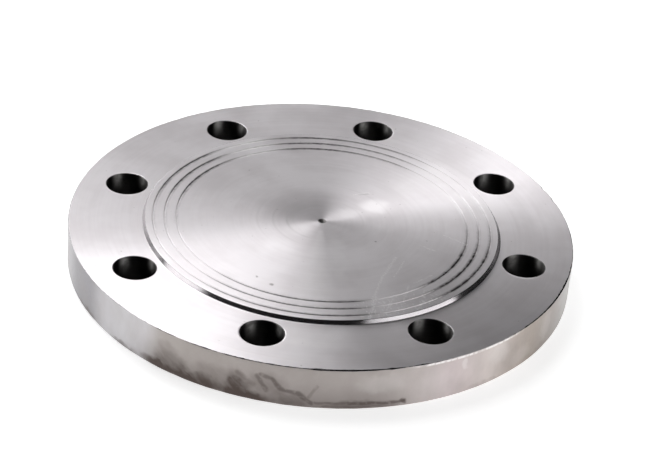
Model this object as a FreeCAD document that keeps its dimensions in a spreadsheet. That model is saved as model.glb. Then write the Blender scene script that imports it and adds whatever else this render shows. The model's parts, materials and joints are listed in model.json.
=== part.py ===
import FreeCAD, Part
import os
import Sketcher

# A blind flange: a round forged steel plate that closes the end of a pipe. One face carries a low raised
# sealing face with concentric water lines, and a ring of bolt holes runs around it.
# The origin is the centre of the flat back face, and +Z points out through the sealing face.

# Driving dimensions in millimetres: alias, value, meaning.
DIMENSIONS = [
    ("outer_diameter", 220.0, "outside diameter"),
    ("ring_thickness", 19.0, "from the back face to the bolt ring"),
    ("face_diameter", 156.0, "raised face, at its foot"),
    ("face_height", 1.6, "raised face above the bolt ring"),
    ("face_slope", 1.0, "how far the raised face's wall leans inwards"),
    ("rim_break", 0.6, "chamfer on the two outer edges"),
    ("bolt_circle", 180.0, "diameter through the hole centres"),
    ("bolt_count", 8, "number of bolt holes"),
    ("bolt_hole", 18.0, "diameter of one bolt hole"),
    ("hole_break", 0.5, "chamfer on the mouths of the bolt holes"),
    ("line_first", 127.2, "diameter of the inner water line"),
    ("line_pitch", 5.05, "radial distance between water lines"),
    ("line_width", 0.6, "width of a water line"),
    ("line_depth", 0.35, "depth of a water line"),
    ("centre_diameter", 3.0, "mouth of the lathe centre mark"),
    ("centre_depth", 1.2, "depth of the lathe centre mark"),
]
WATER_LINES = 3
NODE = "flange_disc"
SHEET = "dimensions"
NEAR = 1e-6


def make_sheet(doc):
    """The spreadsheet that drives every size."""
    sheet = doc.addObject("Spreadsheet::Sheet", SHEET)
    for row, (alias, value, meaning) in enumerate(DIMENSIONS, start=1):
        sheet.set(f"A{row}", alias)
        sheet.set(f"B{row}", str(value))
        sheet.set(f"C{row}", meaning)
        sheet.setAlias(f"B{row}", alias)
    doc.recompute()
    return sheet


def cell(alias):
    """The expression that reads one cell of the sheet."""
    return f"{SHEET}.{alias}"


def attached_sketch(body, name, role):
    """An empty sketch on one of the body's own origin planes."""
    sketch = body.newObject("Sketcher::SketchObject", name)
    plane = next(item for item in body.Origin.OriginFeatures if item.Role == role)
    sketch.AttachmentSupport = [(plane, "")]
    sketch.MapMode = "FlatFace"
    return sketch


def bind(sketch, constraint, name, expression):
    """Add a constraint, name it and drive it by an expression."""
    index = sketch.addConstraint(constraint)
    sketch.renameConstraint(index, name)
    sketch.setExpression(f"Constraints.{name}", expression)


def add_outline(sketch, label, corners):
    """A closed outline of straight lines. A corner is (x, y, x expression, y expression), and where an
    expression is missing the corner lies on that axis of the sketch."""
    points = [FreeCAD.Vector(x, y, 0) for x, y, _, _ in corners]
    ends = points[1:] + points[:1]
    lines = [sketch.addGeometry(Part.LineSegment(a, b), False) for a, b in zip(points, ends)]
    for line, following in zip(lines, lines[1:] + lines[:1]):
        sketch.addConstraint(Sketcher.Constraint("Coincident", line, 2, following, 1))
    for number, (line, (x, y, across, up)) in enumerate(zip(lines, corners)):
        if across is None:
            sketch.addConstraint(Sketcher.Constraint("PointOnObject", line, 1, -2))
        else:
            bind(sketch, Sketcher.Constraint("DistanceX", -1, 1, line, 1, x), f"{label}_x{number}", across)
        if up is None:
            sketch.addConstraint(Sketcher.Constraint("PointOnObject", line, 1, -1))
        else:
            bind(sketch, Sketcher.Constraint("DistanceY", -1, 1, line, 1, y), f"{label}_y{number}", up)


def turned(body, kind, name, sketch):
    """Turn a sketch through a full circle about the disc's axis, to add or to cut."""
    feature = body.newObject(kind, name)
    feature.Profile = sketch
    feature.ReferenceAxis = (sketch, ["V_Axis"])
    feature.Angle = 360
    sketch.Visibility = False
    return feature


def add_disc(body, sheet):
    """The turned blank: back face, rim, bolt ring, sloped wall and raised face."""
    rim = sheet.outer_diameter / 2
    foot = sheet.face_diameter / 2
    ring = sheet.ring_thickness
    rim_text = f"{cell('outer_diameter')} / 2"
    foot_text = f"{cell('face_diameter')} / 2"
    ring_text = cell("ring_thickness")
    top_text = f"{cell('ring_thickness')} + {cell('face_height')}"
    sketch = attached_sketch(body, "disc_profile", "XZ_Plane")
    corners = [
        (0, 0, None, None),
        (rim, 0, rim_text, None),
        (rim, ring, rim_text, ring_text),
        (foot, ring, foot_text, ring_text),
        (
            foot - sheet.face_slope,
            ring + sheet.face_height,
            f"{foot_text} - {cell('face_slope')}",
            top_text,
        ),
        (0, ring + sheet.face_height, None, top_text),
    ]
    add_outline(sketch, "disc", corners)
    return turned(body, "PartDesign::Revolution", "disc", sketch)


def add_water_lines(body, sheet):
    """Three V-shaped grooves cut around the raised face."""
    sketch = attached_sketch(body, "water_line_profile", "XZ_Plane")
    top = sheet.ring_thickness + sheet.face_height
    half = sheet.line_width / 2
    top_text = f"{cell('ring_thickness')} + {cell('face_height')}"
    for number in range(WATER_LINES):
        middle = sheet.line_first / 2 + number * sheet.line_pitch
        middle_text = f"{cell('line_first')} / 2 + {number} * {cell('line_pitch')}"
        half_text = f"{cell('line_width')} / 2"
        corners = [
            (middle - half, top, f"{middle_text} - {half_text}", top_text),
            (middle, top - sheet.line_depth, middle_text, f"{top_text} - {cell('line_depth')}"),
            (middle + half, top, f"{middle_text} + {half_text}", top_text),
        ]
        add_outline(sketch, f"line{number}", corners)
    return turned(body, "PartDesign::Groove", "water_lines", sketch)


def add_centre_mark(body, sheet):
    """The small cone that the lathe's centre leaves in the middle of the raised face."""
    sketch = attached_sketch(body, "centre_profile", "XZ_Plane")
    top = sheet.ring_thickness + sheet.face_height
    top_text = f"{cell('ring_thickness')} + {cell('face_height')}"
    corners = [
        (0, top, None, top_text),
        (0, top - sheet.centre_depth, None, f"{top_text} - {cell('centre_depth')}"),
        (sheet.centre_diameter / 2, top, f"{cell('centre_diameter')} / 2", top_text),
    ]
    add_outline(sketch, "centre", corners)
    return turned(body, "PartDesign::Groove", "centre_mark", sketch)


def add_bolt_hole(body, sheet):
    """One bolt hole, half a pitch round from the X axis, so that the holes straddle both axes."""
    sketch = attached_sketch(body, "bolt_hole_plan", "XY_Plane")
    reach = sheet.bolt_circle / 2
    turn = FreeCAD.Units.Quantity(180 / sheet.bolt_count, FreeCAD.Units.Angle).getValueAs("rad").Value
    start = FreeCAD.Vector(reach, 0, 0)
    centre = FreeCAD.Rotation(FreeCAD.Vector(0, 0, 1), 180 / sheet.bolt_count).multVec(start)
    arm = sketch.addGeometry(Part.LineSegment(FreeCAD.Vector(0, 0, 0), centre), True)
    sketch.addConstraint(Sketcher.Constraint("Coincident", arm, 1, -1, 1))
    bind(sketch, Sketcher.Constraint("Distance", arm, reach), "reach", f"{cell('bolt_circle')} / 2")
    bind(sketch, Sketcher.Constraint("Angle", arm, turn), "turn", f"180 deg / {cell('bolt_count')}")
    circle = Part.Circle(centre, FreeCAD.Vector(0, 0, 1), sheet.bolt_hole / 2)
    hole = sketch.addGeometry(circle, False)
    sketch.addConstraint(Sketcher.Constraint("Coincident", hole, 3, arm, 2))
    bind(sketch, Sketcher.Constraint("Radius", hole, sheet.bolt_hole / 2), "radius", f"{cell('bolt_hole')} / 2")
    pocket = body.newObject("PartDesign::Pocket", "bolt_hole")
    pocket.Profile = sketch
    pocket.Type = "ThroughAll"
    pocket.Reversed = True
    sketch.Visibility = False
    return pocket


def add_hole_pattern(body, pocket):
    """The full ring of bolt holes."""
    pattern = body.newObject("PartDesign::PolarPattern", "bolt_holes")
    pattern.Originals = [pocket]
    pattern.Axis = (pocket.Profile[0], ["N_Axis"])
    pattern.Angle = 360
    pattern.setExpression("Occurrences", cell("bolt_count"))
    body.Tip = pattern
    return pattern


def circles_of(shape, radius, heights):
    """Names of the circular edges of one radius that lie at the given heights."""
    names = []
    for number, edge in enumerate(shape.Edges, start=1):
        if not isinstance(edge.Curve, Part.Circle):
            continue
        at_height = any(abs(edge.Curve.Center.z - height) < NEAR for height in heights)
        if at_height and abs(edge.Curve.Radius - radius) < NEAR:
            names.append(f"Edge{number}")
    return names


def add_chamfer(body, name, base, edges, size_alias):
    """An even chamfer on the named edges of the base feature."""
    chamfer = body.newObject("PartDesign::Chamfer", name)
    chamfer.Base = (base, edges)
    chamfer.setExpression("Size", cell(size_alias))
    body.Tip = chamfer
    return chamfer


def make_flange_disc(doc, sheet):
    """The whole flange: turned, grooved, drilled and with its sharp edges broken."""
    body = doc.addObject("PartDesign::Body", NODE)
    body.Label = NODE
    faces = (0, sheet.ring_thickness)
    add_disc(body, sheet)
    doc.recompute()
    volumes = [body.Shape.Volume]
    add_water_lines(body, sheet)
    doc.recompute()
    volumes.append(body.Shape.Volume)
    add_centre_mark(body, sheet)
    doc.recompute()
    volumes.append(body.Shape.Volume)
    pocket = add_bolt_hole(body, sheet)
    doc.recompute()
    volumes.append(body.Shape.Volume)
    pattern = add_hole_pattern(body, pocket)
    doc.recompute()
    volumes.append(body.Shape.Volume)
    rim_edges = circles_of(pattern.Shape, sheet.outer_diameter / 2, faces)
    rim = add_chamfer(body, "rim_breaks", pattern, rim_edges, "rim_break")
    doc.recompute()
    volumes.append(body.Shape.Volume)
    hole_edges = circles_of(rim.Shape, sheet.bolt_hole / 2, faces)
    add_chamfer(body, "hole_breaks", rim, hole_edges, "hole_break")
    doc.recompute()
    volumes.append(body.Shape.Volume)
    if any(after >= before for before, after in zip(volumes, volumes[1:])):
        raise RuntimeError(f"a cut removed nothing: {volumes}")
    print("volume after each step, mm3:", [round(volume, 1) for volume in volumes])
    return body


def check_document(doc, bodies):
    """Stop if any object failed to compute or a sub-part isn't one valid solid."""
    for item in doc.Objects:
        if "Invalid" in item.State or "Error" in item.State:
            raise RuntimeError(f"{item.Label} is {item.State}")
    for body in bodies:
        shape = body.Shape
        if shape.isNull() or not shape.isValid() or len(shape.Solids) != 1:
            raise RuntimeError(f"{body.Label} isn't one valid solid")


def main():
    doc = FreeCAD.newDocument("blind_flange")
    sheet = make_sheet(doc)
    bodies = [make_flange_disc(doc, sheet)]
    check_document(doc, bodies)
    os.makedirs("parts", exist_ok=True)
    for body in bodies:
        body.Shape.exportStep(f"parts/{body.Label}.step")
        box = body.Shape.BoundBox
        print(body.Label, "box, mm:", round(box.XLength, 3), round(box.YLength, 3), round(box.ZLength, 3))


main()
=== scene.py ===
import json
import math

import bmesh
import bpy
from mathutils import Matrix, Vector, noise


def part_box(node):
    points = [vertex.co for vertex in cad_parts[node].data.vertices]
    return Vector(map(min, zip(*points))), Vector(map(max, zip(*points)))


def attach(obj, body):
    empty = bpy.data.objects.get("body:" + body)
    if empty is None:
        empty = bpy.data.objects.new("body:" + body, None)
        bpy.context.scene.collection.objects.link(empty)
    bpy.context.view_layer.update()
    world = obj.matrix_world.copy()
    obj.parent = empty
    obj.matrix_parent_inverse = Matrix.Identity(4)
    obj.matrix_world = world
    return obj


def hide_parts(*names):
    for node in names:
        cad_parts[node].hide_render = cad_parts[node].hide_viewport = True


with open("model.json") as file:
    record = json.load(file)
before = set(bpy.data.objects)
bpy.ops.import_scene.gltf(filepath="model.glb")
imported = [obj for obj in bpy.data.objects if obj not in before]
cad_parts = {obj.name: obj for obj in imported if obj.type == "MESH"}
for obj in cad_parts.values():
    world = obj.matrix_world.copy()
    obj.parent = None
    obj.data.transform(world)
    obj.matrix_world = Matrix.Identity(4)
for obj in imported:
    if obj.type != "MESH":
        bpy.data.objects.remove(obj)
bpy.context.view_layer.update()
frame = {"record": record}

# ------------------------------------------------------------------ sizes, in metres
# The outside, the bolt circle and the holes come from the frame. The rest are details of this surface: the
# raised face and its foot, the water lines, the centre mark, and the radii and breaks of the edges. What is
# round is given by its radius, and a water line by its half width.
MM = 0.001
TAU = 2 * math.pi
NODE = "flange_disc"
box_low, box_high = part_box(NODE)
bolts = next(mount["dims"] for mount in frame["record"]["mounts"] if mount["kind"] == "bolt_pattern")

RIM = (box_high.x - box_low.x) / 2
TOP = box_high.z
HOLES = bolts["count"]
BOLT_CIRCLE = bolts["pcd_mm"] / 2 * MM
HOLE = bolts["hole_r_mm"] * MM
FACE_HEIGHT = 1.6 * MM
RING = TOP - FACE_HEIGHT
FOOT = 78.0 * MM
FOOT_RUN = 1.0 * MM
FACE = FOOT - FOOT_RUN
FIRST_LINE = 63.6 * MM
LINE_PITCH = 5.05 * MM
WATER_LINES = [FIRST_LINE + LINE_PITCH * i for i in range(3)]
LINE = 0.3 * MM
LINE_DEPTH = 0.28 * MM
CENTRE = 1.5 * MM
CENTRE_DEPTH = 1.2 * MM
HOLE_BREAK = 0.35 * MM
CORNER = 0.25 * MM
FILLET = 0.25 * MM
SLOPE = math.atan2(FACE_HEIGHT, FOOT_RUN)
RING_EDGE = FOOT + FILLET * math.tan(SLOPE / 2)

# How finely the mesh follows the shape. The first three are steps along the outer, inner and side edges of
# one bolt hole's share of the ring.
OUTER_STEPS = 140
INNER_STEPS = 70
SIDE_STEPS = 15
WEB_ROWS = 5
RIM_ROWS = 12
ROUND_ROWS = 4
# A flat face gets an extra loop of points this share of its width from each edge, which keeps it flat to the
# light.
GUARD = 0.02
# Radii of the plain loops on the sealing face and on the back, from the outside in.
FACE_LOOPS = [radius * MM for radius in (52, 38, 24, 12, 6, 3)]
BACK_LOOPS = [radius * MM for radius in (50, 25, 8, 1)]
SHARP = math.radians(28)

# Material slots of the mesh.
FACES, STEP, WALL, BORES, BACK = range(5)


# ------------------------------------------------------------------ mesh
class Shell:
    """Collects patches of quads, which are welded into one closed mesh at the end."""

    def __init__(self):
        self.points = []
        self.faces = []
        self.slots = []

    def patch(self, rows, slot):
        """Join neighbouring loops of points, all of one length, by quads."""
        start = len(self.points)
        width = len(rows[0])
        for row in rows:
            self.points.extend(row)
        for i in range(len(rows) - 1):
            for j in range(width):
                a = start + i * width + j
                b = start + i * width + (j + 1) % width
                self.faces.append((a, b, b + width, a + width))
                self.slots.append(slot)

    def fan(self, row, tip, slot):
        """Join a loop of points to one point by triangles."""
        start = len(self.points)
        self.points.extend(row)
        self.points.append(tip)
        for j in range(len(row)):
            self.faces.append((start + j, start + (j + 1) % len(row), start + len(row)))
            self.slots.append(slot)

    def build(self, name, sharp):
        """The welded mesh as an object, smooth but for edges sharper than an angle."""
        mesh = bpy.data.meshes.new(name)
        mesh.from_pydata(self.points, [], self.faces)
        mesh.polygons.foreach_set("material_index", self.slots)
        work = bmesh.new()
        work.from_mesh(mesh)
        bmesh.ops.remove_doubles(work, verts=work.verts, dist=0.001 * MM)
        bmesh.ops.recalc_face_normals(work, faces=work.faces)
        work.to_mesh(mesh)
        work.free()
        mesh.shade_smooth()
        mesh.set_sharp_from_angle(angle=sharp)
        piece = bpy.data.objects.new(name, mesh)
        bpy.context.scene.collection.objects.link(piece)
        return piece


def around(radius, z, count):
    """A loop about the axis, anticlockwise from +X. radius and z are numbers or functions of the angle."""
    loop = []
    for i in range(count):
        turn = TAU * i / count
        r = radius(turn) if callable(radius) else radius
        h = z(turn) if callable(z) else z
        loop.append((r * math.cos(turn), r * math.sin(turn), h))
    return loop


def unevenness(turn, z, waves, seed):
    """Smooth noise between about -1 and 1 on the rim, with so many waves per radian. seed picks a pattern."""
    return noise.noise(Vector((math.cos(turn) * waves, math.sin(turn) * waves, z / RIM * waves + seed)))


# Stretches where the upper edge is worn wider or, below 0, is still sharp: where, in degrees from +X, by how
# much, and how many degrees long.
WORN = [
    (213.0, -0.22 * MM, 32.0),
    (269.0, 0.42 * MM, 11.5),
    (299.0, -0.26 * MM, 18.0),
    (331.0, 0.32 * MM, 15.0),
]

# Small dents knocked into the upper edge, in the same way.
DENTS = [
    (10.5, 0.5 * MM, 1.4),
    (16.0, 0.7 * MM, 1.2),
    (238.0, 0.3 * MM, 1.2),
    (246.5, 0.4 * MM, 0.8),
    (253.0, 0.3 * MM, 1.0),
    (262.0, 0.3 * MM, 1.6),
    (278.0, 0.3 * MM, 1.0),
    (284.5, 0.3 * MM, 1.5),
    (313.0, 0.3 * MM, 1.2),
]

# The section of the worn upper edge: shares of its width outwards and downwards. Then its least width.
BROKEN_EDGE = [(0, 0), (0.12, 0.02), (0.28, 0.10), (0.84, 0.43), (0.97, 0.53), (1, 0.6)]
SHARPEST = 0.06 * MM


def upper_break(turn):
    """Width of the worn upper edge of the rim at an angle."""
    width = 0.36 * MM + 0.14 * MM * unevenness(turn, 0, 14, 3) + 0.22 * MM * unevenness(turn, 0, 60, 7)
    for place, depth, length in WORN + DENTS:
        away = (math.degrees(turn) - place + 180) % 360 - 180
        width += depth * math.exp(-((away / length) ** 2) * 2)
    return max(width, SHARPEST)


def lower_break(turn):
    """Width of the lower edge of the rim, rougher than the upper."""
    return 0.9 * MM + 0.35 * MM * unevenness(turn, 0, 6, 11) + 0.12 * MM * unevenness(turn, 0, 30, 13)


def rim_dip(turn, z):
    """How far the skimmed rim lies inside its full radius, in long lumps and short hammer marks."""
    lumps = 0.5 + 0.5 * unevenness(turn, z, 5, 17)
    hammer = 0.5 + 0.5 * unevenness(turn, z * 2, 22, 19)
    return 0.10 * MM * lumps + 0.05 * MM * hammer


def rim_rows():
    """Loops from the bolt ring's outer edge, over the worn edge and down the rim to the back face."""
    count = OUTER_STEPS * HOLES
    rows = []
    for out, down in BROKEN_EDGE:

        def radius(turn, out=out):
            return RIM - upper_break(turn) * (1 - out) - rim_dip(turn, RING) * out

        def level(turn, down=down):
            return RING - upper_break(turn) * down

        rows.append(around(radius, level, count))
    for i in range(1, RIM_ROWS):
        share = i / RIM_ROWS

        def level(turn, share=share):
            top = RING - upper_break(turn) * BROKEN_EDGE[-1][1]
            return top + (lower_break(turn) - top) * share

        def radius(turn, level=level):
            return RIM - rim_dip(turn, level(turn))

        rows.append(around(radius, level, count))
    for i in range(ROUND_ROWS + 1):
        bend = math.pi / 2 * i / ROUND_ROWS
        share = 1 - i / ROUND_ROWS

        def radius(turn, bend=bend, share=share):
            return RIM - lower_break(turn) * (1 - math.cos(bend)) - rim_dip(turn, 0) * share

        def level(turn, bend=bend):
            return lower_break(turn) * (1 - math.sin(bend))

        rows.append(around(radius, level, count))
    return rows


def web_outline(outer, inner, hole, z):
    """The edge of one bolt hole's share of the ring: along the outer loop, in, back along the inner, out."""
    a = outer[hole * OUTER_STEPS]
    b = outer[(hole + 1) * OUTER_STEPS % len(outer)]
    c = inner[(hole + 1) * INNER_STEPS % len(inner)]
    d = inner[hole * INNER_STEPS]
    outline = [outer[hole * OUTER_STEPS + i] for i in range(OUTER_STEPS)]
    outline += [Vector(b).lerp(Vector(c), i / SIDE_STEPS)[:] for i in range(SIDE_STEPS)]
    outline += [inner[((hole + 1) * INNER_STEPS - i) % len(inner)] for i in range(INNER_STEPS)]
    outline += [Vector(d).lerp(Vector(a), i / SIDE_STEPS)[:] for i in range(SIDE_STEPS)]
    return [(x, y, z) for x, y, _ in outline]


def hole_loop(outline, middle, radius, z):
    """A circle about a bolt hole's axis with a point towards each point of the outline."""
    loop = []
    for x, y, _ in outline:
        away = Vector((x - middle.x, y - middle.y)).normalized() * radius
        loop.append((middle.x + away.x, middle.y + away.y, z))
    return loop


def hole_rays():
    """For each bolt hole its middle, and the evenly meshed outline that its points face."""
    outer = around(RIM, 0, OUTER_STEPS * HOLES)
    inner = around(RING_EDGE, 0, INNER_STEPS * HOLES)
    rays = []
    for hole in range(HOLES):
        turn = TAU * (hole + 0.5) / HOLES
        middle = Vector((BOLT_CIRCLE * math.cos(turn), BOLT_CIRCLE * math.sin(turn)))
        rays.append((middle, web_outline(outer, inner, hole, 0)))
    return rays


def add_web(shell, outer, inner, z, slot):
    """A flat face between two loops with all its bolt holes, more finely meshed near the holes."""
    for hole, (middle, rays) in enumerate(hole_rays()):
        outline = web_outline(outer, inner, hole, z)
        mouth = hole_loop(rays, middle, HOLE + HOLE_BREAK, z)
        shares = [0, GUARD] + [(i / WEB_ROWS) ** 1.5 for i in range(1, WEB_ROWS)] + [1 - GUARD, 1]
        rows = []
        for share in shares:
            rows.append([Vector(near).lerp(Vector(far), share)[:] for near, far in zip(mouth, outline)])
        shell.patch(rows, slot)


def hole_profile():
    """(radius, z) down a bolt hole, with its mouths broken at both faces."""
    soft = HOLE_BREAK * 0.25
    upper = [
        (HOLE + HOLE_BREAK, RING),
        (HOLE + HOLE_BREAK - soft, RING - soft * 0.5),
        (HOLE + soft * 0.5, RING - HOLE_BREAK + soft),
        (HOLE, RING - HOLE_BREAK),
    ]
    lower = [(radius, RING - z) for radius, z in reversed(upper)]
    middle = [(HOLE, RING * (3 - i) / 4) for i in range(3)]
    return upper + middle + lower


def step_profile():
    """(radius, z) from the ring up the raised face's filleted foot and sloped wall, over its round corner."""
    profile = []
    for i in range(ROUND_ROWS + 1):
        bend = SLOPE * i / ROUND_ROWS
        profile.append((RING_EDGE - FILLET * math.sin(bend), RING + FILLET * (1 - math.cos(bend))))
    reach = CORNER * math.tan(SLOPE / 2)
    for i in range(ROUND_ROWS + 1):
        bend = SLOPE * (1 - i / ROUND_ROWS)
        profile.append((FACE - reach + CORNER * math.sin(bend), TOP - CORNER * (1 - math.cos(bend))))
    return profile


def face_profile():
    """(radius, z) from the corner of the raised face, over its water lines, to the centre mark."""
    # Shares of a water line's half width and depth, and of the centre mark's radius and depth.
    half_line = [(1.7, 0), (1.2, 0), (1, 0.08), (0.3, 1)]
    whole_line = half_line + [(-out, down) for out, down in reversed(half_line)]
    mark = [(1.4, 0), (1.2, 0), (1, 0.08), (0.5, 0.55), (0.12, 1)]
    profile = [step_profile()[-1], (FACE - 0.6 * MM, TOP)]
    for line in reversed(WATER_LINES):
        profile += [(line + LINE * out, TOP - LINE_DEPTH * down) for out, down in whole_line]
    profile += [(radius, TOP) for radius in FACE_LOOPS]
    profile += [(CENTRE * out, TOP - CENTRE_DEPTH * down) for out, down in mark]
    return profile


def make_flange():
    """The whole plate as one closed mesh."""
    shell = Shell()
    inner_count = INNER_STEPS * HOLES
    rim = rim_rows()
    shell.patch(rim[:len(BROKEN_EDGE)], STEP)
    shell.patch(rim[len(BROKEN_EDGE) - 1:], WALL)
    foot = around(RING_EDGE, RING, inner_count)
    core = around(RING_EDGE, 0, inner_count)
    add_web(shell, rim[0], foot, RING, FACES)
    add_web(shell, rim[-1], core, 0, BACK)
    for middle, rays in hole_rays():
        rows = [hole_loop(rays, middle, radius, z) for radius, z in hole_profile()]
        shell.patch(rows, BORES)
    shell.patch([around(radius, z, inner_count) for radius, z in step_profile()], STEP)
    face = [around(radius, z, inner_count) for radius, z in face_profile()]
    shell.patch(face, FACES)
    shell.fan(face[-1], (0, 0, TOP - CENTRE_DEPTH), FACES)
    back = [around(radius, 0, inner_count) for radius in [RING_EDGE] + BACK_LOOPS]
    shell.patch(back, BACK)
    shell.fan(back[-1], (0, 0, 0), BACK)
    return shell.build("blind_flange_plate", SHARP)


# ------------------------------------------------------------------ materials
class Graph:
    """A material's node tree, with short calls for the nodes used here."""

    def __init__(self, name):
        self.material = bpy.data.materials.new(name)
        self.material.use_nodes = True
        self.tree = self.material.node_tree
        self.shader = self.tree.nodes["Principled BSDF"]
        place = self.add("ShaderNodeTexCoord").outputs["Object"]
        self.place = place
        self.x, self.y, self.z = self.split(place)
        flat = self.vector("MULTIPLY", place, (1, 1, 0))
        self.radius = self.vector("LENGTH", flat, value="Value")
        self.heading = self.vector("NORMALIZE", flat)
        self.degrees = self.math("MULTIPLY", self.math("ARCTAN2", self.y, self.x), 360 / TAU)

    def add(self, kind, **settings):
        """A new node with its settings."""
        node = self.tree.nodes.new(kind)
        for key, value in settings.items():
            setattr(node, key, value)
        return node

    def put(self, socket, value):
        """Link an input to another node's output, or set it to a number."""
        if isinstance(value, bpy.types.NodeSocket):
            self.tree.links.new(value, socket)
        else:
            socket.default_value = value

    def split(self, vector):
        node = self.add("ShaderNodeSeparateXYZ")
        self.put(node.inputs[0], vector)
        return node.outputs[0], node.outputs[1], node.outputs[2]

    def join(self, x, y, z):
        node = self.add("ShaderNodeCombineXYZ")
        for socket, value in zip(node.inputs, (x, y, z)):
            self.put(socket, value)
        return node.outputs[0]

    def vector(self, operation, a, b=None, value="Vector"):
        node = self.add("ShaderNodeVectorMath", operation=operation)
        self.put(node.inputs[0], a)
        if b is not None:
            self.put(node.inputs[1], b)
        return node.outputs[value]

    def math(self, operation, a, b=0.0, clamp=False):
        node = self.add("ShaderNodeMath", operation=operation, use_clamp=clamp)
        self.put(node.inputs[0], a)
        self.put(node.inputs[1], b)
        return node.outputs[0]

    def noise(self, vector, scale, detail=2.0, roughness=0.5):
        """Grey noise between 0 and 1."""
        node = self.add("ShaderNodeTexNoise")
        self.put(node.inputs["Vector"], vector)
        self.put(node.inputs["Scale"], scale)
        self.put(node.inputs["Detail"], detail)
        self.put(node.inputs["Roughness"], roughness)
        return node.outputs[0]

    def spread(self, value, start, end, low=0.0, high=1.0):
        """Map start..end to low..high, smoothly, and hold it outside."""
        node = self.add("ShaderNodeMapRange", interpolation_type="SMOOTHSTEP")
        for socket, number in zip(node.inputs, (value, start, end, low, high)):
            self.put(socket, number)
        return node.outputs[0]

    def mix(self, share, a, b):
        """Blend two colours."""
        node = self.add("ShaderNodeMix", data_type="RGBA")
        self.put(node.inputs[0], share)
        self.put(node.inputs[6], a)
        self.put(node.inputs[7], b)
        return node.outputs[2]

    def rings(self, per_metre, round_about, offset=0.0):
        """A vector whose noise makes rings about the axis that change slowly along their length."""
        x, y, _ = self.split(self.vector("MULTIPLY", self.heading, (round_about,) * 3))
        return self.join(self.math("MULTIPLY", self.radius, per_metre), x, self.math("ADD", y, offset))

    def arc(self, middle, reach, soft, degrees=None):
        """1 over an arc about the axis and 0 elsewhere, in degrees from +X or of another angle."""
        turned = self.math("FLOORED_MODULO", self.math("ADD", degrees or self.degrees, 180 - middle), 360)
        away = self.math("ABSOLUTE", self.math("SUBTRACT", turned, 180))
        return self.spread(away, reach - soft, reach + soft, 1, 0)

    def near(self, value, middle, reach, soft):
        """1 where a value is within reach of a number."""
        away = self.math("ABSOLUTE", self.math("SUBTRACT", value, middle))
        return self.spread(away, reach - soft, reach + soft, 1, 0)

    def sector(self, middle, reach, soft, inner, outer):
        """1 over a part of a ring about the axis."""
        band = self.near(self.radius, (inner + outer) / 2, (outer - inner) / 2, 1.5 * MM)
        return self.math("MULTIPLY", self.arc(middle, reach, soft), band)

    def warp(self, vector, scale, amount, detail=2.0):
        """A vector pushed about by noise."""
        node = self.add("ShaderNodeTexNoise")
        self.put(node.inputs["Vector"], vector)
        self.put(node.inputs["Scale"], scale)
        self.put(node.inputs["Detail"], detail)
        push = self.vector("SUBTRACT", node.outputs["Color"], (0.5, 0.5, 0.5))
        return self.vector("ADD", vector, self.vector("MULTIPLY", push, (amount,) * 3))

    def blot(self, vector, middle, reach):
        """1 within an oval, fading out about its edge. middle and reach are pairs."""
        away = self.vector("SUBTRACT", vector, (*middle, 0))
        away = self.vector("DIVIDE", away, (*reach, 1))
        flat = self.vector("MULTIPLY", away, (1, 1, 0))
        return self.spread(self.vector("LENGTH", flat, value="Value"), 0.45, 1.25, 1, 0)

    def streak(self, vector, start, end, width):
        """1 along a line between two points, fading out at its sides."""
        run = (end[0] - start[0], end[1] - start[1])
        square = run[0] ** 2 + run[1] ** 2
        away = self.vector("MULTIPLY", self.vector("SUBTRACT", vector, (*start, 0)), (1, 1, 0))
        share = self.vector("DOT_PRODUCT", away, (run[0] / square, run[1] / square, 0), value="Value")
        share = self.math("MINIMUM", self.math("MAXIMUM", share, 0.0), 1.0)
        foot = self.vector("MULTIPLY", share, (*run, 0))
        return self.spread(self.vector("DISTANCE", away, foot, value="Value"), width * 0.2, width, 1, 0)

    def total(self, masks):
        """The sum of (mask, strength) pairs, held between 0 and 1."""
        value = 0.0
        for mask, strength in masks:
            value = self.math("ADD", self.math("MULTIPLY", mask, strength), value)
        return self.math("ADD", value, 0.0, clamp=True)

    def most(self, masks):
        """The greatest mask times its strength, from (mask, strength) pairs."""
        value = 0.0
        for mask, strength in masks:
            value = self.math("MAXIMUM", self.math("MULTIPLY", mask, strength), value)
        return value

    def bump(self, height, strength, distance):
        """Raise the surface to the light by a height between 0 and 1 times a distance."""
        node = self.add("ShaderNodeBump")
        self.put(node.inputs["Strength"], strength)
        self.put(node.inputs["Distance"], distance)
        self.put(node.inputs["Height"], height)
        self.put(self.shader.inputs["Normal"], node.outputs[0])

    def finish(self, **inputs):
        """Set the shader's inputs by name, with _ for a space, and give the material."""
        for name, value in inputs.items():
            self.put(self.shader.inputs[name.replace("_", " ")], value)
        return self.material


def rgb(red, green, blue):
    return (red, green, blue, 1.0)


DULL_STEEL = rgb(0.575, 0.546, 0.563)
CLEAN_STEEL = rgb(0.655, 0.629, 0.648)
BRIGHT_STEEL = rgb(0.92, 0.91, 0.91)
PALE_STEEL = rgb(0.95, 0.94, 0.94)
SHADED_STEEL = rgb(0.10, 0.09, 0.095)
KEEN_STEEL = rgb(0.10, 0.095, 0.10)
SMEARED_STEEL = rgb(0.30, 0.27, 0.25)
BARE_AND_GLINT_STEEL = rgb(0.97, 0.95, 0.94)
LINE_SHADE_COLOUR = rgb(0.06, 0.055, 0.055)
DARK_SPOT = rgb(0.10, 0.095, 0.09)
RACK_GRIME = rgb(0.22, 0.19, 0.17)
RUST = rgb(0.095, 0.068, 0.058)
VEIN = rgb(0.09, 0.066, 0.057)
BORE_SHADE = rgb(0.05, 0.048, 0.047)
BORE_PALER_SHADE = rgb(0.09, 0.087, 0.085)
BORE_REFLECTION = rgb(0.50, 0.49, 0.48)
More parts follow.
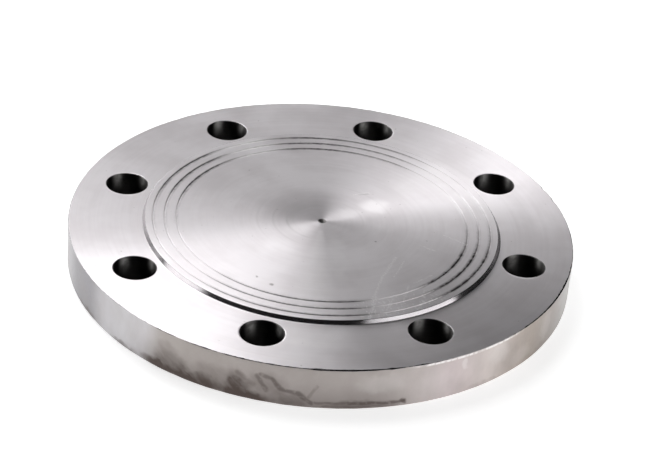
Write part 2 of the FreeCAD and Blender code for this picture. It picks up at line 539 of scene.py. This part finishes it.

# Where shade is painted dark into the water lines: middle and reach in degrees from +X, and how dark it is.
# It lies a little inside each line's middle.
SHADED_LINE_ARCS = [
    (66, 18, 0.42),
    (89, 10, 0.72),
    (142, 18, 0.72),
    (170, 14, 0.20),
    (236, 14, 0.28),
    (263, 15, 0.46),
    (322, 17, 0.90),
    (346, 10, 0.35),
]
LINE_SHADE_SHIFT = 0.25 * MM

# Where the water lines are rubbed pale, in the same way.
PALE_ARCS = [(111, 8, 0.75), (10, 8, 0.26)]

# Light scuffs on the sealing face, as lines from point to point in millimetres, and their widths.
SCUFFS = [
    ((28, -30), (19, -47), 1.0),
    ((31, -33), (25, -45), 0.6),
    ((19, -48), (13, -63), 0.9),
    ((15, -60), (10, -77), 1.1),
    ((36, -62), (29, -72), 0.6),
    ((41, -44), (33, -50), 0.8),
    ((30, -52), (26, -64), 0.7),
    ((22, -62), (18, -70), 0.7),
    ((52, -12), (61, -20), 0.6),
    ((40, -20), (46, -25), 0.7),
    ((17, 22), (24, 24), 0.7),
]

# Painted highlights on the sealing face, as ovals: middle and half sizes in millimetres, strength.
HIGHLIGHT_SPOTS = [
    ((24.5, 12.5), (7.0, 5.5), 0.26),
    ((12, 6), (6.0, 4.0), 0.14),
    ((-11, -6), (6.5, 4.5), 0.13),
    ((-22, -20), (9.0, 7.0), 0.08),
    ((3, -30), (4.0, 24.0), 0.14),
]

# Faint dark turns left near the middle: radius in millimetres, middle and reach in degrees, strength.
SWIRLS = [
    (15.5, 205, 35, 0.11),
    (18.0, 25, 30, 0.06),
    (21.5, 190, 40, 0.08),
    (28.5, 175, 30, 0.06),
    (31.0, 35, 25, 0.07),
]

# Sectors painted a little brighter or, below 0, duller: painted sheen and shade of the turned face, and at
# 111 degrees a pale scuffed patch. Middle, reach and softness in degrees, inner and outer radius in
# millimetres, strength.
SHEEN_SECTORS = [
    (36, 9, 7, 82, 112, -0.12),
    (5, 8, 8, 20, 95, -0.12),
    (37, 6, 8, 45, 77, 0.14),
    (94, 7, 7, 60, 77, -0.10),
    (111, 6, 6, 62, 77, 0.12),
    (260, 7, 5, 8, 95, 0.16),
    (276, 5, 5, 62, 112, -0.22),
]

# Where the tool chattered near the edge of the sealing face: an arc in degrees from +X, and a band of radii.
CHATTER_ARC = (291, 15, 4)
CHATTER_BAND = (70.5 * MM, 6.5 * MM, 1.5 * MM)

# Small dark marks on the sealing face: point and radius in millimetres.
MARKS = [((-27.5, -50), 1.1), ((-33, -44), 0.7), ((21, -17), 0.5)]

# A faint dark dash beside the brightest painted highlight spot, in the same way as the scuffs.
DASH = ((19.6, 22.4), (23.4, 22.9), 0.9)

# The rim is unrolled to a sheet: its middle in degrees from +X, and its millimetres to a degree.
FRONT = 270
ALONG = RIM / MM * TAU / 360

# Rust and grime on the rim, as ovals: degrees from +X, height above the back face in mm, half length and
# half height in mm, strength.
STAINS = [
    (201, 0.6, 9, 1.6, 0.75),
    (216, 0.8, 8, 1.8, 0.70),
    (226, 1.8, 8, 2.8, 0.85),
    (230, 5.0, 9, 6.5, 0.58),
    (229, 12.0, 5, 4.0, 0.25),
    (237, 2.4, 12, 3.8, 0.80),
    (240, 8.5, 9, 4.5, 0.30),
    (245.5, 4.5, 6, 5.5, 0.95),
    (245, 10.0, 4, 4.5, 0.45),
    (248, 1.4, 10, 2.6, 0.90),
    (252, 9.5, 8, 6.0, 0.35),
    (257, 3.5, 8, 3.5, 0.40),
    (271, 2.4, 14, 2.0, 0.35),
    (281, 2.3, 1.6, 1.4, 1.00),
    (301, 1.0, 10, 1.5, 0.25),
    (308, 9.0, 6, 8.0, 0.16),
    (320, 1.5, 12, 2.5, 0.25),
]

# The arc of the rim that is darker low down, partly grime and partly painted contact shade.
GRIME_AND_SHADE_ARC = (249, 29, 7)

# Places on the rim rubbed bright, in the same way as the stains.
RUBBED = [
    (276.0, 12.0, 11.0, 5.0, 0.12),
    (288.0, 8.0, 9.0, 8.0, 0.07),
    (295.0, 15.0, 1.4, 3.0, 0.24),
    (304.5, 13.5, 6.5, 6.0, 0.17),
    (312.0, 6.0, 7.0, 5.0, 0.10),
    (322.0, 11.0, 5.0, 7.0, 0.10),
]

# The painted glint just under the rim's upper edge: its arc and its band of heights.
GLINT_ARC = (297, 13, 3)
GLINT_BAND = (RING - 0.7 * MM, 0.45 * MM, 0.3 * MM)

# Thin dark veins on the rim: start and end as (degrees, mm above the back face), width in mm, strength.
VEINS = [
    ((250.4, 13.3), (252.9, 12.0), 1.4, 0.50),
    ((252.9, 12.0), (254.7, 8.0), 1.6, 0.65),
    ((254.7, 8.0), (258.5, 6.7), 1.5, 0.65),
    ((258.5, 6.7), (261.3, 2.6), 1.6, 0.65),
    ((249.7, 12.6), (251.9, 6.1), 1.6, 0.50),
    ((262.4, 10.9), (260.5, 4.5), 1.2, 0.30),
    ((245.5, 12.0), (249.0, 8.0), 1.8, 0.30),
    ((262.0, 3.0), (271.0, 3.1), 0.9, 0.45),
    ((269.0, 3.1), (281.0, 2.5), 1.1, 0.75),
    ((264.0, 1.3), (280.0, 1.3), 0.8, 0.35),
]

# The rim's colour all round, which handling has changed on the front half, with a painted shade band on its
# left
# from about 188 to 208 degrees: degrees from +X and colour.
RIM_TONES_AND_SHADE = [
    (0, (0.60, 0.59, 0.585)),
    (30, (0.56, 0.55, 0.55)),
    (150, (0.54, 0.53, 0.54)),
    (170, (0.48, 0.465, 0.48)),
    (188, (0.42, 0.41, 0.425)),
    (194, (0.305, 0.297, 0.312)),
    (203, (0.312, 0.304, 0.32)),
    (208, (0.515, 0.502, 0.52)),
    (215, (0.57, 0.56, 0.575)),
    (222, (0.625, 0.61, 0.63)),
    (227, (0.43, 0.397, 0.378)),
    (240, (0.41, 0.375, 0.357)),
    (255, (0.415, 0.38, 0.366)),
    (264, (0.41, 0.375, 0.36)),
    (276, (0.43, 0.392, 0.378)),
    (284, (0.535, 0.488, 0.476)),
    (292, (0.647, 0.57, 0.574)),
    (302, (0.66, 0.60, 0.575)),
    (310, (0.495, 0.433, 0.40)),
    (316, (0.396, 0.347, 0.308)),
    (325, (0.415, 0.375, 0.355)),
    (334, (0.53, 0.515, 0.505)),
    (350, (0.64, 0.63, 0.62)),
    (360, (0.60, 0.59, 0.585)),
]

# The painted reflections in each bolt hole: middle, reach and softness in degrees that the wall faces,
# strength.
BORE_REFLECTIONS = [(293, 12, 11, 0.55), (213, 9, 10, 0.42)]


def turned_steel(name, roughness):
    """Lathe-turned steel: fine rings that stretch its highlights outwards and faint tonal bands."""
    g = Graph(name)
    fine = g.noise(g.rings(5000, 2.5), 1.0, 3.0, 0.7)
    bands = g.noise(g.rings(500, 1.2, 5.0), 1.0, 3.0, 0.6)
    cloud = g.noise(g.place, 42.0, 3.0, 0.55)
    tone = g.math("ADD", g.math("MULTIPLY", bands, 0.25), g.math("MULTIPLY", cloud, 0.75))
    colour = g.mix(g.spread(tone, 0.34, 0.66), DULL_STEEL, CLEAN_STEEL)
    rough = g.math("ADD", g.spread(tone, 0.25, 0.75, roughness + 0.03, roughness - 0.03),
                   g.spread(fine, 0.2, 0.8, -0.02, 0.02))
    tangent = g.add("ShaderNodeTangent", direction_type="RADIAL", axis="Z")
    g.bump(g.math("ADD", fine, g.math("MULTIPLY", bands, 0.5)), 0.07, 0.04 * MM)
    g.finish(Metallic=1.0, Base_Color=colour, Roughness=rough, Anisotropic=0.85,
             Anisotropic_Rotation=0.25, Tangent=tangent.outputs[0])
    return g, colour, rough


def line_tones(g, colour):
    """The water lines, with painted shade in some places and rubbed pale in others."""
    lines = g.total([(g.near(g.radius, line - LINE_SHADE_SHIFT, LINE * 2.7, LINE * 2.2), 1.0)
                     for line in WATER_LINES])
    broken = g.spread(g.noise(g.rings(500, 26.0), 1.0, 2.0), 0.35, 0.65, 0.45, 1.0)
    # Painted shade: dark colour laid into the water lines over some arcs, broken up by noise.
    for arcs, soft, tint in ((SHADED_LINE_ARCS, 7, LINE_SHADE_COLOUR), (PALE_ARCS, 6, PALE_STEEL)):
        patches = g.total([(g.arc(place, reach, soft), strength) for place, reach, strength in arcs])
        patches = g.math("MULTIPLY", g.math("MULTIPLY", patches, broken), lines)
        colour = g.mix(patches, colour, tint)
    return colour


def middle_tones(g, colour, flat, swept, on_top):
    """The middle of the sealing face, darker and cloudy, with painted shade over a wedge of it."""
    # Painted shade: a darker wedge of the middle, from about 56 to 192 degrees.
    shade = g.math("MULTIPLY", g.blot(swept, (0, 0), (27, 27)), g.arc(124, 68, 20))
    paler = g.math("SUBTRACT", 0.20, g.math("MULTIPLY", g.arc(293, 32, 14), 0.16))
    core = g.math("ADD", g.math("MULTIPLY", g.blot(flat, (0, 0), (24, 24)), paler),
                  g.math("MULTIPLY", shade, 0.16))
    turns = []
    for ring, place, reach, dark in SWIRLS:
        band = g.near(g.radius, ring * MM, 0.5 * MM, 0.4 * MM)
        turns.append((g.math("MULTIPLY", band, g.arc(place, reach, 15)), dark))
    core = g.math("ADD", core, g.total(turns))
    return g.mix(g.math("MULTIPLY", core, on_top), colour, SHADED_STEEL)


def sheen_sector_tones(g, colour):
    """The sectors painted a little brighter or duller than the rest: painted sheen and shade, and a scuffed
    patch.
    """
    # Painted sheen brightens some sectors and painted shade darkens others.
    for sign, tint in ((1, BRIGHT_STEEL), (-1, SHADED_STEEL)):
        sectors = g.total([(g.sector(place, reach, soft, inner * MM, outer * MM), sign * strength)
                           for place, reach, soft, inner, outer, strength in SHEEN_SECTORS if sign * strength > 0])
        colour = g.mix(sectors, colour, tint)
    return colour


def scuffs_and_highlights(g, flat, shaken, swept, on_top):
    """How far the scuffs, the tool's chatter and the painted highlight spots brighten the sealing face."""
    grit = g.spread(g.noise(flat, 1.3, 3.0, 0.7), 0.42, 0.60)
    scuffed = g.total([(g.streak(shaken, start, end, width), 1.0) for start, end, width in SCUFFS])
    light = g.math("MULTIPLY", g.math("MULTIPLY", scuffed, 0.48), grit)
    chatter = g.math("MULTIPLY", g.arc(*CHATTER_ARC), g.near(g.radius, *CHATTER_BAND))
    dots = g.spread(g.noise(g.rings(550, 70.0, 9.0), 1.0, 1.0), 0.56, 0.70)
    light = g.math("ADD", light, g.math("MULTIPLY", g.math("MULTIPLY", chatter, dots), 0.45))
    # Painted highlights: bright ovals where the turned face catches the light.
    highlights = g.total([(g.blot(swept, middle, reach), strength) for middle, reach, strength in HIGHLIGHT_SPOTS])
    return g.math("MULTIPLY", g.math("MAXIMUM", light, highlights), on_top)


def sealing_steel():
    """The faces seen in use: turned steel, a darker middle, painted shade and highlights, scuffs and marks.
    """
    g, colour, rough = turned_steel("turned_face", 0.36)
    flat = g.vector("MULTIPLY", g.place, (1 / MM, 1 / MM, 0))
    swept = g.warp(flat, 0.09, 9.0)
    shaken = g.warp(flat, 0.35, 1.6)
    on_top = g.spread(g.z, RING + 0.5 * MM, RING + 1.0 * MM)

    colour = line_tones(g, colour)
    colour = middle_tones(g, colour, flat, swept, on_top)
    colour = sheen_sector_tones(g, colour)
    # The scuffs and chatter, and the painted highlights, lighten the face.
    light = scuffs_and_highlights(g, flat, shaken, swept, on_top)
    colour = g.mix(light, colour, BRIGHT_STEEL)

    specks = g.spread(g.noise(flat, 0.45, 1.0, 0.5), 0.76, 0.80)
    marks = g.total([(g.blot(shaken, middle, (size, size)), 0.6) for middle, size in MARKS]
                    + [(specks, 0.35), (g.streak(flat, *DASH), 0.22)])
    # Painted shade: the hollow of the centre mark is painted dark.
    pit_shade = g.spread(g.radius, CENTRE, CENTRE * 1.45, 1, 0)
    colour = g.mix(g.math("MAXIMUM", marks, g.math("MULTIPLY", pit_shade, 0.9)), colour, DARK_SPOT)
    rough = g.math("ADD", rough, g.math("MULTIPLY", g.math("ADD", light, marks), 0.12))
    return g.finish(Base_Color=colour, Roughness=rough)


def back_steel():
    """The flat back: the same turning, duller from lying on racks."""
    g, colour, rough = turned_steel("turned_back", 0.42)
    grime = g.spread(g.noise(g.place, 45.0, 4.0, 0.6), 0.5, 0.75, 0.0, 0.35)
    return g.finish(Base_Color=g.mix(grime, colour, RACK_GRIME), Roughness=rough)


def step_steel():
    """The wall of the raised face and the worn upper edge of the rim, darker and shinier than the faces."""
    g, colour, _ = turned_steel("turned_step", 0.22)
    return g.finish(Base_Color=g.mix(0.35, colour, KEEN_STEEL))


def around_axis(g):
    """The level direction along a wall that stands upright."""
    normal = g.add("ShaderNodeNewGeometry").outputs["Normal"]
    return g.vector("CROSS_PRODUCT", (0, 0, 1), normal)


def on_rim(degrees, height):
    """A point of the unrolled rim, in millimetres."""
    return ((degrees - FRONT) * ALONG, height)


def rim_blots(g, sheet, places):
    """(mask, strength) pairs for ovals on the rim."""
    return [(g.blot(sheet, on_rim(degrees, height), (long, tall)), strength)
            for degrees, height, long, tall, strength in places]


def rim_tone_and_shade(g):
    """The rim's own colour, which changes round the axis, with a painted shade band on its left."""
    ramp = g.add("ShaderNodeValToRGB")
    stops = ramp.color_ramp.elements
    while len(stops) < len(RIM_TONES_AND_SHADE):
        stops.new(1.0)
    for stop, (degrees, colour) in zip(stops, RIM_TONES_AND_SHADE):
        stop.position = degrees / 360
        stop.color = rgb(*colour)
    g.put(ramp.inputs[0], g.math("DIVIDE", g.math("FLOORED_MODULO", g.degrees, 360), 360))
    return ramp.outputs[0]


def rim_rust_and_foot_shade(g, sheet, blurred):
    """How much rust and grime covers the rim: patches with slanting ragged edges, and a foot of grime and
    painted shade.
    """
    slant = g.add("ShaderNodeMapping", vector_type="TEXTURE")
    g.put(slant.inputs["Vector"], g.warp(sheet, 0.15, 3.0, 1.0))
    g.put(slant.inputs["Rotation"], (0, 0, math.radians(-38)))
    g.put(slant.inputs["Scale"], (9.0, 2.4, 1.0))
    ragged = g.spread(g.noise(slant.outputs[0], 1.0, 3.0, 0.5), 0.25, 0.72, 0.50, 0.82)
    rust = g.math("MULTIPLY", g.total(rim_blots(g, blurred, STAINS)), ragged)
    # Darker towards the bottom: grime and painted contact shade.
    low_down = g.math("ADD", g.spread(g.z, 0.0, 15 * MM, 0.28, 0.0), g.spread(g.z, 0.0, 5 * MM, 0.22, 0.0))
    grime = g.math("MULTIPLY", low_down, g.arc(*GRIME_AND_SHADE_ARC))
    return g.math("ADD", rust, grime, clamp=True)


def rim_veins(g, sheet):
    """How much the thin veins darken the rim."""
    wavy = g.warp(sheet, 0.20, 1.7, 1.5)
    veins = g.most([(g.streak(wavy, on_rim(*start), on_rim(*end), width), dark)
                    for start, end, width, dark in VEINS])
    return g.math("MULTIPLY", veins, g.spread(g.noise(sheet, 0.5, 1.0), 0.3, 0.5, 0.5, 1.0))


def rim_rubbing_and_glint(g, sheet, blurred):
    """How much the rim is rubbed bright in places, and the painted glint under its upper edge."""
    # Painted glint: a broken bright line under the upper edge at the front right.
    glint = g.math("MULTIPLY", g.near(g.z, *GLINT_BAND), g.arc(*GLINT_ARC))
    glint_breaks = g.noise(g.vector("MULTIPLY", sheet, (0.6, 0.2, 0)), 1.0, 2.0)
    glint_breaks = g.spread(glint_breaks, 0.38, 0.60, 0.20, 1.0)
    return g.most(rim_blots(g, blurred, RUBBED) + [(g.math("MULTIPLY", glint, glint_breaks), 0.80)])


def skimmed_rim():
    """The rim: skimmed steel, duller than the faces, rusty at the front left, rubbed at the front right, with
    painted shade and glint.
    """
    g = Graph("skimmed_rim")
    turned = g.math("ARCTAN2", g.x, g.math("MULTIPLY", g.y, -1.0))
    sheet = g.join(g.math("MULTIPLY", turned, RIM / MM), g.math("DIVIDE", g.z, MM), 0.0)
    blurred = g.warp(sheet, 0.22, 5.0, 2.0)
    cloud = g.noise(g.place, 45.0, 3.0, 0.5)
    grain = g.noise(g.place, 700.0, 2.0, 0.6)
    smear = g.noise(g.vector("MULTIPLY", sheet, (0.14, 0.07, 0)), 1.0, 2.0, 0.5)
    shade = g.math("ADD", g.math("MULTIPLY", cloud, 0.5), g.math("MULTIPLY", smear, 0.5))
    # rust also holds the painted contact shade low on the front left.
    rust = rim_rust_and_foot_shade(g, sheet, blurred)
    veins = rim_veins(g, sheet)

    colour = g.mix(g.spread(shade, 0.34, 0.66, 0.26, 0.0), rim_tone_and_shade(g), SMEARED_STEEL)
    colour = g.mix(rust, colour, RUST)
    colour = g.mix(veins, colour, VEIN)
    colour = g.mix(rim_rubbing_and_glint(g, sheet, blurred), colour, BARE_AND_GLINT_STEEL)
    foul = g.math("MAXIMUM", rust, veins)
    g.bump(g.math("ADD", g.math("MULTIPLY", grain, 0.3), g.math("MULTIPLY", cloud, 2.0)), 0.2, 0.08 * MM)
    return g.finish(Base_Color=colour, Metallic=g.spread(foul, 0.0, 0.8, 1.0, 0.35),
                    Roughness=g.spread(grain, 0.2, 0.8, 0.42, 0.48), Anisotropic=0.45,
                    Anisotropic_Rotation=0.25, Tangent=around_axis(g))


def drilled_bore():
    """The walls of the bolt holes: shade painted near black, two painted reflections, and rings left by the
    drill.
    """
    g = Graph("drilled_bore")
    rings = g.noise(g.vector("MULTIPLY", g.place, (60.0, 60.0, 2500.0)), 1.0, 3.0, 0.6)
    facing_x, facing_y, _ = g.split(g.add("ShaderNodeNewGeometry").outputs["Normal"])
    facing = g.math("MULTIPLY", g.math("ARCTAN2", facing_y, facing_x), 360 / TAU)
    reflection = g.total([(g.arc(middle, reach, soft, facing), strength)
                      for middle, reach, soft, strength in BORE_REFLECTIONS])
    reflection = g.math("MULTIPLY", reflection, g.spread(g.z, RING - 10 * MM, RING - 2 * MM, 0.0, 1.0))
    uneven = g.spread(g.noise(g.place, 260.0, 2.0, 0.5), 0.35, 0.62, 0.35, 1.0)
    reflection = g.math("MULTIPLY", reflection, uneven)
    # Painted shade: the bore walls are near black.
    wall = g.mix(rings, BORE_SHADE, BORE_PALER_SHADE)
    g.bump(rings, 0.2, 0.02 * MM)
    return g.finish(Metallic=1.0, Base_Color=g.mix(reflection, wall, BORE_REFLECTION), Roughness=0.42,
                    Anisotropic=0.95, Anisotropic_Rotation=0.25, Tangent=around_axis(g))


def pale_floor():
    """A white studio table, lit from below but for where the flange lies on it, and more so far away."""
    g = Graph("pale_floor")
    tone = g.noise(g.place, 3.0, 2.0)
    near_light = g.spread(g.radius, RIM * 0.93, RIM, 0.0, 0.68)
    far_light = g.spread(g.radius, 0.45, 1.5, 0.0, 0.5)
    return g.finish(Base_Color=g.mix(tone, rgb(0.85, 0.85, 0.85), rgb(0.88, 0.88, 0.88)), Roughness=0.9,
                    Emission_Color=rgb(1, 1, 1), Emission_Strength=g.math("ADD", near_light, far_light))


# ------------------------------------------------------------------ stage, lights and camera
FLOOR_REACH = 6.0
FLOOR_GAP = 0.02 * MM


def make_floor():
    """A square table top, a hair under the flange."""
    corners = [(x * FLOOR_REACH, y * FLOOR_REACH, 0) for x, y in ((-1, -1), (1, -1), (1, 1), (-1, 1))]
    mesh = bpy.data.meshes.new("floor")
    mesh.from_pydata(corners, [], [(0, 1, 2, 3)])
    floor = bpy.data.objects.new("floor", mesh)
    bpy.context.scene.collection.objects.link(floor)
    floor.location.z = -FLOOR_GAP
    mesh.materials.append(pale_floor())


def direction(azimuth, elevation):
    """Unit vector; azimuth is anticlockwise from +X and elevation above the floor, in degrees."""
    a = math.radians(azimuth)
    e = math.radians(elevation)
    return Vector((math.cos(a) * math.cos(e), math.sin(a) * math.cos(e), math.sin(e)))


# The softboxes: azimuth and elevation in degrees, width and height in metres, power in watts.
SOFTBOXES = {
    "key": (114, 54.5, 0.51, 0.66, 4.4),
    "front_fill": (322, 22, 0.92, 0.39, 2.7),
    "back_low": (117, 20, 1.24, 0.24, 2.6),
    "back_right": (66, 14, 0.14, 0.44, 0.6),
    "back_upper": (75, 43, 0.07, 0.50, 0.16),
    "left_low": (175.5, 17, 0.50, 0.22, 1.3),
}
LIGHT_DISTANCE = 0.9


def softbox(name, azimuth, elevation, width, height, power):
    """A rectangular studio light that faces the flange."""
    lamp = bpy.data.lights.new(name, "AREA")
    lamp.shape = "RECTANGLE"
    lamp.size = width
    lamp.size_y = height
    lamp.energy = power
    box = bpy.data.objects.new(name, lamp)
    bpy.context.scene.collection.objects.link(box)
    out = direction(azimuth, elevation)
    box.location = Vector((0, 0, RING)) + out * LIGHT_DISTANCE
    box.rotation_euler = out.to_track_quat("Z", "Y").to_euler()


def make_world():
    """White to the camera, dim to everything else, so that the softboxes shape the steel."""
    world = bpy.data.worlds.new("studio")
    bpy.context.scene.world = world
    world.use_nodes = True
    tree = world.node_tree
    seen = tree.nodes["Background"]
    seen.inputs[0].default_value = rgb(0.01, 0.01, 0.01)
    plain = tree.nodes.new("ShaderNodeBackground")
    plain.inputs[0].default_value = rgb(1, 1, 1)
    path = tree.nodes.new("ShaderNodeLightPath")
    mixed = tree.nodes.new("ShaderNodeMixShader")
    tree.links.new(path.outputs["Is Camera Ray"], mixed.inputs[0])
    tree.links.new(seen.outputs[0], mixed.inputs[1])
    tree.links.new(plain.outputs[0], mixed.inputs[2])
    tree.links.new(mixed.outputs[0], tree.nodes["World Output"].inputs[0])


def make_camera():
    """Looks down on the flange from in front, leaning a little, with a long lens."""
    azimuth = math.radians(-9.8)
    elevation = math.radians(31.5)
    lean = math.radians(5.05)
    distance = 0.9568
    across = -3.52 * MM
    down = -3.0 * MM
    ahead = Vector((-math.sin(azimuth) * math.cos(elevation), math.cos(azimuth) * math.cos(elevation),
                    -math.sin(elevation)))
    right = Vector((math.cos(azimuth), math.sin(azimuth), 0))
    below = ahead.cross(right)
    turned_right = right * math.cos(lean) - below * math.sin(lean)
    turned_down = right * math.sin(lean) + below * math.cos(lean)
    camera = bpy.data.cameras.new("camera")
    camera.sensor_width = 36
    camera.lens = 119.7
    camera.clip_start = 0.01
    rig = bpy.data.objects.new("camera", camera)
    bpy.context.scene.collection.objects.link(rig)
    place = Vector((0, 0, RING)) - ahead * distance - turned_right * across - turned_down * down
    turn = Matrix((turned_right, -turned_down, -ahead)).transposed().to_4x4()
    rig.matrix_world = Matrix.Translation(place) @ turn
    bpy.context.scene.camera = rig


flange = make_flange()
for material in (sealing_steel(), step_steel(), skimmed_rim(), drilled_bore(), back_steel()):
    flange.data.materials.append(material)
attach(flange, "root")
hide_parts(NODE)

make_floor()
for name, settings in SOFTBOXES.items():
    softbox(name, *settings)
make_world()
make_camera()
bpy.context.scene.view_settings.view_transform = "Standard"
